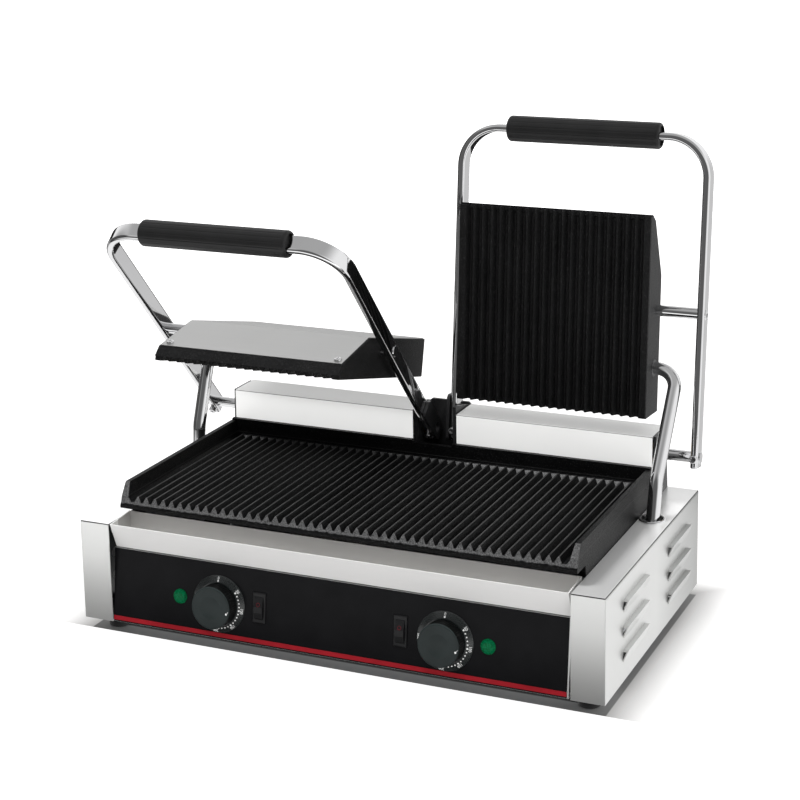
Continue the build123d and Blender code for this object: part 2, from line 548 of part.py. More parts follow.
def plate_profile(off=0.0):
    # side outline in (y, z) with the pivot at the origin, without ribs
    return [(-UP_FRONT, -UP_FACE + UP_LIP), (-UP_FRONT + 5.0, -UP_FACE + UP_LIP), (-UP_FRONT + 6.0, -UP_FACE + 6.0), (UP_REAR, -UP_FACE + 6.0), (UP_REAR, UP_TOP - 1.0), (-UP_SLOPE_V, UP_TOP - 1.0),
            (-UP_NOSE_V, -UP_NOSE_N - 1.0), (-UP_NOSE_V - 1.2, -UP_NOSE_N - 1.6)]


def upper_plate():
    b = prism_x(plate_profile(), X0, X1)
    cav = prism_x([(-UP_FRONT + 14, -UP_FACE + 15), (UP_REAR - WALL, -UP_FACE + 15), (UP_REAR - WALL, UP_TOP + 2), (-UP_SLOPE_V - 2, UP_TOP + 2),
                   (-UP_NOSE_V + 8, -UP_NOSE_N + 1.2)], X0 + WALL, X1 - WALL)
    b -= cav
    # sawtooth ribs under the floor
    # the first and last rib widen into a land flush with the side
    pr = [(X0, -UP_FACE + 6.4), (X0, -UP_FACE + 0.7), (X0 + 0.7, -UP_FACE)]
    x0 = UP_X - (UP_RIBS - 1) / 2 * RIB_PITCH
    for i in range(UP_RIBS):
        x = x0 + i * RIB_PITCH
        if i:
            pr += [(x - 3.9, -UP_FACE + 6.0), (x - 0.75, -UP_FACE)]
        if i < UP_RIBS - 1:
            pr += [(x + 0.75, -UP_FACE), (x + 3.9, -UP_FACE + 6.0)]
    pr += [(X1 - 0.7, -UP_FACE), (X1, -UP_FACE + 0.7), (X1, -UP_FACE + 6.4)]
    # rib ends stand a little behind the lip
    ribs = prism_y(pr, -UP_FRONT + UP_RIB_SET, UP_REAR)
    b += ribs
    # bores: pivot rod, conduit bush
    b -= cx(X0 - 1, X1 + 1, 0, 0, SHAFT_R + RUN)
    b -= cx(X1 - WALL - 1, X1 + 1, -TUBE_V, -TUBE_N, 9.0 + RUN)
    return one(b)


def plate_cover():
    g = 0.05
    p = [(UP_REAR - 0.6, UP_TOP - 1.0 + g), (UP_REAR - 0.6, UP_TOP), (-UP_SLOPE_V, UP_TOP), (-UP_NOSE_V - 0.6, -UP_NOSE_N - 0.35),
         (-UP_NOSE_V - 0.2, -UP_NOSE_N - 0.95 + g), (-UP_SLOPE_V, UP_TOP - 1.0 + g)]
    c = prism_x(p, X0 + 1.5, X1 - 1.5)
    for x in (X0 + 9, X1 - 9):
        c -= slope_pin(x, 1.9, -3, 3)
    return one(c)


SL = math.degrees(math.atan2(UP_TOP + UP_NOSE_N, UP_NOSE_V - UP_SLOPE_V))


def slope_pin(x, r, a0, a1):
    # a pin square to the front slope near its lower edge
    y, z = -UP_NOSE_V + 6.0, -UP_NOSE_N + 6.0 * math.tan(math.radians(SL))
    return Pos(x, y, z) * Rot(SL, 0, 0) * Pos(0, 0, (a0 + a1) / 2) * Cylinder(r, a1 - a0)


def cover_screws():
    out = []
    for x in (X0 + 9, X1 - 9):
        y, z = -UP_NOSE_V + 6.0, -UP_NOSE_N + 6.0 * math.tan(math.radians(SL))
        s = Pos(0, 0, 0.1) * Cylinder(4.0, 2.0, align=(Align.CENTER, Align.CENTER, Align.MIN))
        s = fillet([e for e in s.edges() if e.center().Z > 2.0], 1.4)
        s -= Pos(0, 0, 2.0) * Box(5.0, 0.9, 1.6)
        s -= Pos(0, 0, 2.0) * Box(0.9, 5.0, 1.6)
        out.append(Pos(x, y, z) * Rot(SL, 0, 0) * s)
    return group(*out)


def upper_heater():
    z = -UP_FACE + 15 + 4.1
    a, b = X0 + 22, X1 - 22
    m = (a + b) / 2
    pts = [(a, 70, z), (a, -66, z), (a + 45, -66, z), (a + 45, 60, z), (b - 45, 60, z), (b - 45, -66, z), (b, -66, z), (b, 46, z)]
    return one(tube_along(pts, [14.0] * 6, 4.0))


def conduit_bush():
    b = cx(X1 - WALL + 0.5, X1 + 0.3, -TUBE_V, -TUBE_N, 9.0)
    b -= cx(X1 - 20, X1 + 20, -TUBE_V, -TUBE_N, TUBE_R + RUN)
    return one(b)


def conduit(fang, pang, bend, low):
    y, z = pivot_at(fang)
    a = math.radians(pang)
    V = (-math.cos(a), math.sin(a))
    N = (-math.sin(a), -math.cos(a))
    py = y + TUBE_V * V[0] + TUBE_N * N[0]
    pz = z + TUBE_V * V[1] + TUBE_N * N[1]
    pts = [(X1 - WALL - 5.0, py, pz), (TUBE_X, py, pz), (TUBE_X, bend[0], bend[1]), (TUBE_X, low[0], low[1])]
    o = tube_along(pts, [22.0, 40.0], TUBE_R)
    i = tube_along(pts, [22.0, 40.0], TUBE_RI)
    return one(o - i)


frame_s, grip_s, bolts_s, shaft_s, chan_s, cross_s = handle_frame(), grip(), clamp_bolts(), hinge_shaft(), hinge_channel(), cross_shaft()
plate_s, cover_s, scr_s, heat_s, bush_s = upper_plate(), plate_cover(), cover_screws(), upper_heater(), conduit_bush()

for nm, fa, pa, bend, low in (("right", RIGHT_FRAME, RIGHT_PLATE, RIGHT_BEND, RIGHT_LOW), ("left", LEFT_FRAME, LEFT_PLATE, LEFT_BEND, LEFT_LOW)):
    m = (lambda s: s) if nm == "right" else flip
    parts[nm + "_handle_frame"] = pose_frame(m(frame_s), fa)
    parts[nm + "_grip"] = pose_frame(m(grip_s), fa)
    parts[nm + "_clamp_bolts"] = pose_frame(m(bolts_s), fa)
    parts[nm + "_hinge_shaft"] = pose_frame(m(shaft_s), fa)
    parts[nm + "_hinge_channel"] = pose_frame(m(chan_s), fa)
    parts[nm + "_cross_shaft"] = pose_plate(m(cross_s), fa, fa)
    parts[nm + "_upper_plate"] = pose_plate(m(plate_s), fa, pa)
    parts[nm + "_plate_cover"] = pose_plate(m(cover_s), fa, pa)
    parts[nm + "_cover_screws"] = pose_plate(m(scr_s), fa, pa)
    parts[nm + "_upper_heater"] = pose_plate(m(heat_s), fa, pa)
    parts[nm + "_conduit_bush"] = pose_plate(m(bush_s), fa, pa)
    parts[nm + "_conduit"] = m(conduit(fa, pa, bend, low))

# ---------------------------------------------------------------- output
os.makedirs("parts", exist_ok=True)
lo, hi = [1e9] * 3, [-1e9] * 3
for nm in sorted(parts):
    s = Pos(0, -DEPTH_CENTRE, 0) * parts[nm]
    b = s.bounding_box()
    lo = [min(a, c) for a, c in zip(lo, (b.min.X, b.min.Y, b.min.Z))]
    hi = [max(a, c) for a, c in zip(hi, (b.max.X, b.max.Y, b.max.Z))]
    export_step(s, os.path.join("parts", nm + ".step"))
print(len(parts), "pieces, box", [round(v, 2) for v in lo], [round(v, 2) for v in hi])
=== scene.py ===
import math

import bmesh
import bpy
from mathutils import Matrix, Vector


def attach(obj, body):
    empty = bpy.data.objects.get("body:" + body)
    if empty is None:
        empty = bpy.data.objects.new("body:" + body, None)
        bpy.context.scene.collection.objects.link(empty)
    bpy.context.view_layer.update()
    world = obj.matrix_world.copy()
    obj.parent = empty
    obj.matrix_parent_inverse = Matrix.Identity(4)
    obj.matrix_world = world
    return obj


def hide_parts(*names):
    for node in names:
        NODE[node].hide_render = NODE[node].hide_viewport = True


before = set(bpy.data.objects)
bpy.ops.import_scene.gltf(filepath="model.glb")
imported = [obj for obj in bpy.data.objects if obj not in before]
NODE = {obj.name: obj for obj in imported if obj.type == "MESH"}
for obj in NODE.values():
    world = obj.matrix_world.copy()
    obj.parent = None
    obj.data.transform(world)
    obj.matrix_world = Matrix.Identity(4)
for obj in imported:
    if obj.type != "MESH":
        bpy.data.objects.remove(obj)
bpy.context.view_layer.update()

# ------------------------------------------------------------------ frame
# Lengths below are in millimetres with y = 0 at the front of the end cheeks.
DEPTH_CENTRE = 164.125
HINGE_Y, HINGE_Z = 294.4, 165.8
PIVOT_R = 152.2
FRAME_ANGLE = {"left": 48.0, "right": 96.0}
PLATE_ANGLE = {"left": 14.3, "right": 94.1}
SIDE = {"left": -1.0, "right": 1.0}
PANEL_LEAN = math.asin(9.0 / 78.5)
KNOB_S, LAMP_S, SWITCH_S = 36.3, 37.9, 39.2
KNOB_X, LAMP_X, SWITCH_X, CTRL_DX = 124.2, 168.9, 77.5, -2.4


def mm(p):
    return Vector((p[0] / 1000.0, (p[1] - DEPTH_CENTRE) / 1000.0, p[2] / 1000.0))


def panel_pt(x, out, s):
    c, k = math.cos(PANEL_LEAN), math.sin(PANEL_LEAN)
    return (x, 1.4 - out * c + s * k, 15.3 + out * k + s * c)


def lid_pt(side, x, v, n):
    # v runs forward from the hinge along the arms, n towards the cooking face
    a = math.radians(FRAME_ANGLE[side])
    return (SIDE[side] * x, HINGE_Y - v * math.cos(a) - n * math.sin(a), HINGE_Z + v * math.sin(a) - n * math.cos(a))


def plate_pt(side, x, v, n):
    f, a = math.radians(FRAME_ANGLE[side]), math.radians(PLATE_ANGLE[side])
    y0, z0 = HINGE_Y - PIVOT_R * math.cos(f), HINGE_Z + PIVOT_R * math.sin(f)
    return (SIDE[side] * x, y0 - v * math.cos(a) - n * math.sin(a), z0 + v * math.sin(a) - n * math.cos(a))


# ------------------------------------------------------------------ materials
class Mat:
    def __init__(self, name):
        self.m = bpy.data.materials.new(name)
        self.m.use_nodes = True
        self.t = self.m.node_tree
        self.t.nodes.clear()
        self.out = self.t.nodes.new("ShaderNodeOutputMaterial")
        self.b = self.t.nodes.new("ShaderNodeBsdfPrincipled")
        self.t.links.new(self.b.outputs["BSDF"], self.out.inputs["Surface"])
        self.tc = self.t.nodes.new("ShaderNodeTexCoord")

    def set(self, **kw):
        for k, v in kw.items():
            s = self.b.inputs[k.replace("_", " ")]
            s.default_value = (*v, 1.0) if isinstance(v, tuple) and len(v) == 3 else v
        return self

    def noise(self, scale, detail=3.0, rough=0.5, stretch=(1.0, 1.0, 1.0)):
        mp = self.t.nodes.new("ShaderNodeMapping")
        mp.inputs["Scale"].default_value = stretch
        self.t.links.new(self.tc.outputs["Object"], mp.inputs["Vector"])
        n = self.t.nodes.new("ShaderNodeTexNoise")
        n.inputs["Scale"].default_value = scale
        n.inputs["Detail"].default_value = detail
        n.inputs["Roughness"].default_value = rough
        self.t.links.new(mp.outputs["Vector"], n.inputs["Vector"])
        return n.outputs["Fac"]

    def ramp(self, fac, stops):
        r = self.t.nodes.new("ShaderNodeValToRGB")
        e = r.color_ramp.elements
        while len(e) < len(stops):
            e.new(0.5)
        for el, (p, c) in zip(e, stops):
            el.position = p
            el.color = (*c, 1.0)
        self.t.links.new(fac, r.inputs["Fac"])
        return r.outputs["Color"]

    def span(self, fac, a, b, lo=0.3, hi=0.7):
        r = self.t.nodes.new("ShaderNodeMapRange")
        r.inputs["From Min"].default_value = lo
        r.inputs["From Max"].default_value = hi
        r.inputs["To Min"].default_value = a
        r.inputs["To Max"].default_value = b
        self.t.links.new(fac, r.inputs["Value"])
        return r.outputs["Result"]

    def link(self, out, socket):
        self.t.links.new(out, self.b.inputs[socket])
        return self

    def bump(self, height, strength, distance):
        n = self.t.nodes.new("ShaderNodeBump")
        n.inputs["Strength"].default_value = strength
        n.inputs["Distance"].default_value = distance
        self.t.links.new(height, n.inputs["Height"])
        prev = self.b.inputs["Normal"]
        if prev.is_linked:
            self.t.links.new(prev.links[0].from_socket, n.inputs["Normal"])
        self.t.links.new(n.outputs["Normal"], self.b.inputs["Normal"])
        return self

    def height(self, axis):
        s = self.t.nodes.new("ShaderNodeSeparateXYZ")
        self.t.links.new(self.tc.outputs["Object"], s.inputs["Vector"])
        return s.outputs[axis]

    def math(self, op, a, b):
        n = self.t.nodes.new("ShaderNodeMath")
        n.operation = op
        for k, v in enumerate((a, b)):
            if isinstance(v, (int, float)):
                n.inputs[k].default_value = v
            else:
                self.t.links.new(v, n.inputs[k])
        return n.outputs[0]

    def band(self, value, centre, half, soft):
        # 1 within a narrow stretch of a coordinate, 0 outside
        d = self.math("ABSOLUTE", self.math("SUBTRACT", value, centre), 0.0)
        return self.span(d, 1.0, 0.0, half, half + soft)

    def over(self, fac, under, colour):
        n = self.t.nodes.new("ShaderNodeMix")
        n.data_type = "RGBA"
        self.t.links.new(fac, n.inputs[0])
        self.t.links.new(under, n.inputs[6])
        if isinstance(colour, tuple):
            n.inputs[7].default_value = (*colour, 1.0)
        else:
            self.t.links.new(colour, n.inputs[7])
        return n.outputs[2]


def stainless(name, stretch, tone, rough, metallic=1.0, seam=None, painted_light_face=None, painted_shade_inside=None, painted_shade_ramp=None, painted_shade_low=None):
    m = Mat(name).set(Metallic=metallic)
    m.b.inputs["Specular IOR Level"].default_value = 0.5
    streak = m.noise(1.0, 4.0, 0.6, stretch)
    cloud = m.noise(9.0, 3.0, 0.5)
    lo = tuple(c * 0.975 for c in tone)
    hi = tuple(min(1.0, c * 1.02) for c in tone)
    col = m.ramp(cloud, [(0.3, lo), (0.7, hi)])
    if painted_shade_ramp:
        # painted shade: darker toward one end
        col = m.over(m.span(m.height(painted_shade_ramp[0]), 0.0, 1.0, painted_shade_ramp[1], painted_shade_ramp[2]), col, m.ramp(cloud, [(0.3, tuple(c * 0.975 for c in painted_shade_ramp[3])), (0.7, painted_shade_ramp[3])]))
    if painted_shade_low:
        # painted shade: the front face darkens toward the floor
        low = m.math("MULTIPLY", m.span(m.height("Z"), 1.0, 0.0, painted_shade_low[1], painted_shade_low[2]), m.span(m.height("Y"), 1.0, 0.0, painted_shade_low[0], painted_shade_low[0] + 0.0002))
        col = m.over(low, col, m.ramp(cloud, [(0.3, tuple(c * 0.975 for c in painted_shade_low[3])), (0.7, painted_shade_low[3])]))
    if painted_light_face:
        # painted highlight: one face is painted paler than the rest, standing in for light falling on it
        col = m.over(m.span(m.height(painted_light_face[0]), 0.0, 1.0, painted_light_face[1], painted_light_face[2]), col, m.ramp(cloud, [(0.3, tuple(c * 0.975 for c in painted_light_face[3])), (0.7, painted_light_face[3])]))
    if seam:
        # dark joint where the folded top meets the side
        col = m.over(m.band(m.height("Z"), seam[0], seam[1], 0.00015), col, seam[2])
    if painted_shade_inside:
        # painted shade inside the folded shell: everything within a box is darkened
        inside = None
        for axis, (lo_c, hi_c) in zip("XYZ", painted_shade_inside):
            b = m.band(m.height(axis), (lo_c + hi_c) / 2.0, (hi_c - lo_c) / 2.0, 0.0002)
            inside = b if inside is None else m.math("MULTIPLY", inside, b)
        col = m.over(inside, col, m.ramp(cloud, [(0.3, (0.010, 0.010, 0.010)), (0.7, (0.018, 0.018, 0.018))]))
    m.link(col, "Base Color")
    m.link(m.span(streak, rough[0], rough[1]), "Roughness")
    m.bump(streak, 0.02, 0.0001)
    return m.m


def chrome(name):
    m = Mat(name).set(Metallic=1.0)
    cloud = m.noise(14.0, 3.0)
    m.link(m.ramp(cloud, [(0.3, (0.80, 0.80, 0.81)), (0.7, (0.87, 0.87, 0.875))]), "Base Color")
    m.link(m.span(m.noise(60.0, 4.0), 0.035, 0.075), "Roughness")
    return m.m


def casting(name, base, rough, grain, spec, wear_and_tip_highlight=False, painted_side_sheen=False, run_out=False):
    m = Mat(name)
    m.b.inputs["Specular IOR Level"].default_value = spec
    sand = m.noise(850.0, 3.0, 0.65)
    speck = m.noise(700.0, 2.0, 0.7)
    cloud = m.noise(26.0, 4.0, 0.6)
    col = m.ramp(cloud, [(0.3, tuple(c * 0.75 for c in base)), (0.7, tuple(c * 1.5 for c in base))])
    if wear_and_tip_highlight or painted_side_sheen:
        # grains that catch the light
        col = m.over(m.span(speck, 0.0, 1.0, 0.56, 0.70), col, (0.028, 0.028, 0.0285))
    if painted_side_sheen:
        # painted sheen: outer sides painted greyer and grainier, standing in for a grazing sheen
        off = m.math("SUBTRACT", m.math("ABSOLUTE", m.height("X"), 0.0), 0.132)
        col = m.over(m.span(off, 0.0, 1.0, 0.1058, 0.1064), col, m.ramp(sand, [(0.3, (0.012, 0.012, 0.012)), (0.72, (0.060, 0.060, 0.061))]))
    if run_out:
        # bare sloping ends of the grooves
        back = m.span(m.height("Y"), 1.0, 0.0, (252.1 - DEPTH_CENTRE) / 1000.0, (252.6 - DEPTH_CENTRE) / 1000.0)
        col = m.over(back, col, m.ramp(sand, [(0.32, (0.05, 0.05, 0.0505)), (0.70, (0.24, 0.24, 0.242))]))
    if wear_and_tip_highlight:
        z = m.height("Z")
        # ground rib tips, painted paler: ground metal and a painted highlight along the tips
        ground_tip_highlight = m.span(z, 0.0, 1.0, 0.1443, 0.1450)
        col = m.over(m.math("MULTIPLY", ground_tip_highlight, m.span(z, 1.0, 0.0, 0.1452, 0.1456)), col, m.ramp(sand, [(0.35, (0.012, 0.012, 0.012)), (0.7, (0.06, 0.06, 0.06))]))
        # bare grainy rib ends and wall ends on the sloping front, with a ragged lower edge
        line = m.math("ADD", m.math("MULTIPLY", m.math("SUBTRACT", z, 0.139), 0.30), 0.0246 - DEPTH_CENTRE / 1000.0)
        line = m.math("ADD", line, m.math("MULTIPLY", m.math("MAXIMUM", m.math("SUBTRACT", z, 0.145), 0.0), 0.295))
        front = m.span(m.math("SUBTRACT", m.height("Y"), line), 1.0, 0.0, 0.0004, 0.0009)
        low = m.math("ADD", z, m.math("MULTIPLY", m.noise(260.0, 3.0, 0.6), 0.0036))
        front = m.math("MULTIPLY", front, m.span(low, 0.0, 1.0, 0.1384, 0.1392))
        col = m.over(front, col, m.ramp(sand, [(0.32, (0.018, 0.018, 0.0182)), (0.70, (0.17, 0.17, 0.172))]))
    m.link(col, "Base Color")
    m.link(m.span(sand, rough[0], rough[1]), "Roughness")
    m.bump(sand, grain, 0.0007)
    m.bump(cloud, 0.1, 0.0008)
    return m.m


def plastic(name, base, rough=(0.35, 0.45), grain=0.12, spec=0.5, scale=1500.0, coat=0.0):
    m = Mat(name)
    m.b.inputs["Specular IOR Level"].default_value = spec
    if coat:
        m.b.inputs["Coat Weight"].default_value = coat
        m.b.inputs["Coat Roughness"].default_value = 0.08
    g = m.noise(scale, 3.0, 0.55)
    cloud = m.noise(40.0, 3.0)
    m.link(m.ramp(cloud, [(0.3, tuple(c * 0.85 for c in base)), (0.7, tuple(min(1.0, c * 1.15) for c in base))]), "Base Color")
    m.link(m.span(g, rough[0], rough[1]), "Roughness")
    if grain:
        m.bump(g, grain, 0.00012)
    return m.m


def metal(name, base, rough=(0.3, 0.45), grain=0.05):
    m = Mat(name).set(Metallic=1.0)
    g = m.noise(420.0, 4.0, 0.6)
    cloud = m.noise(30.0, 4.0)
    m.link(m.ramp(cloud, [(0.3, tuple(c * 0.8 for c in base)), (0.7, tuple(min(1.0, c * 1.1) for c in base))]), "Base Color")
    m.link(m.span(g, rough[0], rough[1]), "Roughness")
    m.bump(g, grain, 0.0002)
    return m.m


M = {
    "steel_x": stainless("stainless_along_x", (14.0, 1400.0, 1400.0), (0.70, 0.702, 0.695), (0.28, 0.34), 0.6),
    # cheek: top face painted paler as a painted highlight; painted shade toward the rear, toward the floor and inside
    # the shell
    "steel_cheek": stainless("stainless_cheek", (1400.0, 14.0, 1400.0), (0.70, 0.704, 0.693), (0.28, 0.34), 0.6, (0.12095, 0.00033, (0.03, 0.03, 0.03)), ("Z", 0.12135, 0.12145, (0.93, 0.93, 0.925)), ((-0.2841, -0.2516), (-0.1631, 0.1530), (0.0156, 0.1205)), ("Y", 0.0, 0.150, (0.38, 0.385, 0.378)), (-0.1637, 0.018, 0.085, (0.50, 0.503, 0.495))),
    "steel_lid": stainless("stainless_lid", (14.0, 1400.0, 1400.0), (0.49, 0.49, 0.486), (0.32, 0.40), 0.8),
    # hinge cover: top face painted paler, a painted highlight
    "steel_cover": stainless("stainless_satin", (14.0, 1400.0, 1400.0), (0.78, 0.78, 0.77), (0.46, 0.54), 0.12, (0.1904, 0.0003, (0.25, 0.25, 0.25)), ("Z", 0.19065, 0.19080, (0.97, 0.97, 0.96))),
    # tray: front strip painted paler, a painted highlight
    "steel_tray": stainless("stainless_tray", (14.0, 1400.0, 1400.0), (0.60, 0.591, 0.577), (0.42, 0.52), 0.5, None, ("Y", 0.0150 - DEPTH_CENTRE / 1000.0, 0.0135 - DEPTH_CENTRE / 1000.0, (0.97, 0.965, 0.955))),
    "chrome": chrome("chrome_plate"),
    "cast": casting("black_casting", (0.0045, 0.0045, 0.0047), (0.34, 0.6), 1.0, 0.22, painted_side_sheen=True),
    "cast_ribs": casting("black_casting_plate", (0.0024, 0.0024, 0.0026), (0.28, 0.5), 0.7, 0.15, wear_and_tip_highlight=True),
    "cast_ends": casting("black_casting_groove_ends", (0.0030, 0.0030, 0.0032), (0.28, 0.5), 0.7, 0.22, run_out=True),
    "paint": casting("black_satin_paint", (0.024, 0.024, 0.025), (0.26, 0.36), 0.12, 0.45),
    "film": plastic("panel_film", (0.0062, 0.0062, 0.0070), (0.16, 0.22), 0.0, 0.06, 600.0),
    "red": plastic("red_stripe", (0.30, 0.011, 0.018), (0.28, 0.36), 0.0, 0.06, 600.0),
    "dial": plastic("dial_ring", (0.010, 0.0128, 0.0128), (0.24, 0.32), 0.06, 1.0),
    "knob": plastic("knob_face", (0.018, 0.0245, 0.0245), (0.30, 0.40), 0.10, 0.25),
    "knob_side": plastic("knob_side", (0.003, 0.0033, 0.0033), (0.34, 0.44), 0.08, 0.2),
    "mark": plastic("white_print", (0.82, 0.83, 0.82), (0.4, 0.5), 0.0, 0.3),
    "redmark": plastic("red_print", (0.10, 0.008, 0.012), (0.4, 0.5), 0.0, 0.3),
    "black": plastic("black_plastic", (0.011, 0.011, 0.0118), (0.30, 0.40), 0.08, 0.3),
    "grip": plastic("grip_rubber", (0.010, 0.010, 0.0102), (0.36, 0.46), 0.12, 0.32),
    "rubber": plastic("foot_rubber", (0.007, 0.007, 0.007), (0.55, 0.7), 0.2, 0.4),
    "zinc": metal("zinc_sheet", (0.42, 0.43, 0.44), (0.34, 0.5)),
    "heater": metal("heater_sheath", (0.10, 0.095, 0.09), (0.45, 0.6), 0.1),
    "brass": metal("turned_brass", (0.58, 0.43, 0.17), (0.25, 0.35)),
    "spring": metal("spring_steel", (0.16, 0.16, 0.17), (0.3, 0.45)),
    "ceramic": plastic("terminal_ceramic", (0.68, 0.66, 0.60), (0.3, 0.45), 0.05, 0.5),
}

lamp = Mat("green_lens")
lamp.b.inputs["Specular IOR Level"].default_value = 0.10
cell = lamp.t.nodes.new("ShaderNodeTexVoronoi")
cell.inputs["Scale"].default_value = 620.0
lamp.t.links.new(lamp.tc.outputs["Object"], cell.inputs["Vector"])
lamp.link(lamp.ramp(cell.outputs["Distance"], [(0.0, (0.0, 0.17, 0.060)), (0.8, (0.0, 0.075, 0.025))]), "Base Color")
lamp.link(lamp.span(lamp.noise(300.0), 0.12, 0.2), "Roughness")
lamp.bump(cell.outputs["Distance"], 0.35, 0.0004)
M["lamp"] = lamp.m

WEAR = {
    "left_cheek": "steel_cheek", "right_cheek": "steel_cheek", "chassis": "zinc", "rear_panel": "steel_x", "front_bulkhead": "zinc",
    "control_panel": "steel_x", "panel_overlay": "film", "panel_trim_strip": "red", "dial_rings": "dial", "thermostats": "zinc",
    "indicator_lamps": "lamp", "switch_bodies": "black", "drip_tray": "steel_tray", "lower_grill_plate": "cast_ribs",
    "lower_heating_elements": "heater", "lower_reflector": "zinc", "left_hinge_cover": "steel_cover", "right_hinge_cover": "steel_cover",
    "outer_hinge_brackets": "paint", "centre_bracket": "paint", "hinge_bushes": "brass", "counterbalance_springs": "spring",
    "conduit_rings": "chrome", "rubber_feet": "rubber", "foot_screws": "zinc", "cable_gland": "black", "gland_locknut": "black",
    "terminal_block": "ceramic", "rear_screws": "zinc",
}
for s in ("left", "right"):
    WEAR.update({
        s + "_knob": "knob", s + "_knob_shaft": "zinc", s + "_rocker": "black", s + "_handle_frame": "chrome", s + "_grip": "grip",
        s + "_clamp_bolts": "chrome", s + "_hinge_shaft": "chrome", s + "_hinge_channel": "paint", s + "_cross_shaft": "chrome",
        s + "_upper_plate": "cast", s + "_plate_cover": "steel_lid", s + "_cover_screws": "chrome", s + "_upper_heater": "heater",
        s + "_conduit_bush": "paint", s + "_conduit": "chrome",
    })
for n, key in WEAR.items():
    NODE[n].data.materials.clear()
    NODE[n].data.materials.append(M[key])


# ------------------------------------------------------------------ mesh helpers
def add_piece(name, verts, faces, mats, body, replaces=(), slot=None, face_mat=None, sharp=32.0):
    """Closed mesh from points in millimetres, riding on a body."""
    me = bpy.data.meshes.new(name)
    me.from_pydata([tuple(mm(v)) for v in verts], [], faces)
    for m in mats if isinstance(mats, (list, tuple)) else [mats]:
        me.materials.append(M[m])
    if face_mat:
        me.polygons.foreach_set("material_index", face_mat)
    bm = bmesh.new()
    bm.from_mesh(me)
    bmesh.ops.recalc_face_normals(bm, faces=bm.faces)
    bm.to_mesh(me)
    bm.free()
    me.polygons.foreach_set("use_smooth", [True] * len(me.polygons))
    me.set_sharp_from_angle(angle=math.radians(sharp))
    o = bpy.data.objects.new(name, me)
    bpy.context.scene.collection.objects.link(o)
    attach(o, body)
    if replaces:
        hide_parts(*replaces)
    return o


def bridge(rings, closed=True, caps=True):
    """Faces joining equal rings of points given one after another."""
    n = len(rings[0])
    verts = [p for r in rings for p in r]
    faces = []
    for k in range(len(rings) - 1):
        a, b = k * n, (k + 1) * n
        for i in range(n if closed else n - 1):
            j = (i + 1) % n
            faces.append((a + i, a + j, b + j, b + i))
    if caps:
        faces.append(tuple(range(n)))
        faces.append(tuple((len(rings) - 1) * n + i for i in reversed(range(n))))
    return verts, faces


def rounded(points, radii, seg=18, run=0):
    """Points and unit tangents along straight runs joined by arcs."""
    v = [Vector(p) for p in points]
    out = [v[0]]
    for i in range(1, len(v) - 1):
        a, b = (v[i - 1] - v[i]).normalized(), (v[i + 1] - v[i]).normalized()
        ang = a.angle(b)
        r = radii[i - 1]
        t = r / math.tan(ang / 2)
        bis = (a + b).normalized()
        c = v[i] + bis * (r / math.sin(ang / 2))
        p, q = v[i] + a * t, v[i] + b * t
        e0, e1 = p - c, q - c
        tot = e0.angle(e1)
        for k in range(seg + 1):
            w = k / seg
            out.append(c + (e0 * math.sin((1 - w) * tot) + e1 * math.sin(w * tot)) / math.sin(tot))
    out.append(v[-1])
    if run:
        dense = []
        for a, b in zip(out, out[1:]):
            k = max(1, int((b - a).length / run))
            dense += [a.lerp(b, j / k) for j in range(k)]
        out = dense + [out[-1]]
    tan = []
    for i in range(len(out)):
        d0 = (out[i] - out[i - 1]).normalized() if i else None
        d1 = (out[i + 1] - out[i]).normalized() if i < len(out) - 1 else None
        tan.append(((d0 or d1) + (d1 or d0)).normalized())
    return out, tan


def round_rect(w, h, r, seg=7):
    pts = []
    for cx, cy, a0 in ((w / 2 - r, h / 2 - r, 0), (-w / 2 + r, h / 2 - r, 90), (-w / 2 + r, -h / 2 + r, 180), (w / 2 - r, -h / 2 + r, 270)):
        for k in range(seg + 1):
            a = math.radians(a0 + 90.0 * k / seg)
            pts.append((cx + r * math.cos(a), cy + r * math.sin(a)))
    return pts


# ------------------------------------------------------------------ handle frames
ARM_IN, ARM_OUT, FRAME_L, FRAME_BEND, ARM_TAIL = 15.0, 288.0, 335.4, 42.0, 11.0


def handle_frame(side):
    path, tan = rounded([(ARM_IN, -ARM_TAIL, 0), (ARM_IN, FRAME_L, 0), (ARM_OUT, FRAME_L, 0), (ARM_OUT, -ARM_TAIL, 0)], [FRAME_BEND] * 2, 28, 9)
    sec = round_rect(8.0, 20.0, 3.3, 8)
    up = Vector((0, 0, 1))
    rings = []

    def ring(p, t, k=1.0):
        s = t.cross(up)
        return [lid_pt(side, *(p + s * (a * k if abs(k - 1) > 1e-9 else a) + up * (b * k if abs(k - 1) > 1e-9 else b))) for a, b in sec]

    for i, (p, t) in enumerate(zip(path, tan)):
        if i == 0:
            rings += [ring(p, t, 0.80), ring(p + t * 0.35, t, 0.93), ring(p + t * 1.2, t), ring(p + t * 2.2, t)]
        elif i == len(path) - 1:
            rings += [ring(p - t * 2.2, t), ring(p - t * 1.2, t), ring(p - t * 0.35, t, 0.93), ring(p, t, 0.80)]
        else:
            rings.append(ring(p, t))
    v, f = bridge(rings)
    add_piece(side + "_chrome_frame", v, f, "chrome", side + "_frame", [side + "_handle_frame"], "chrome", sharp=50)


# ------------------------------------------------------------------ conduits
TUBE = {"right": ((226.2, 159.3), (213.6, 115.0)), "left": ((214.6, 162.9), (208.4, 97.6))}


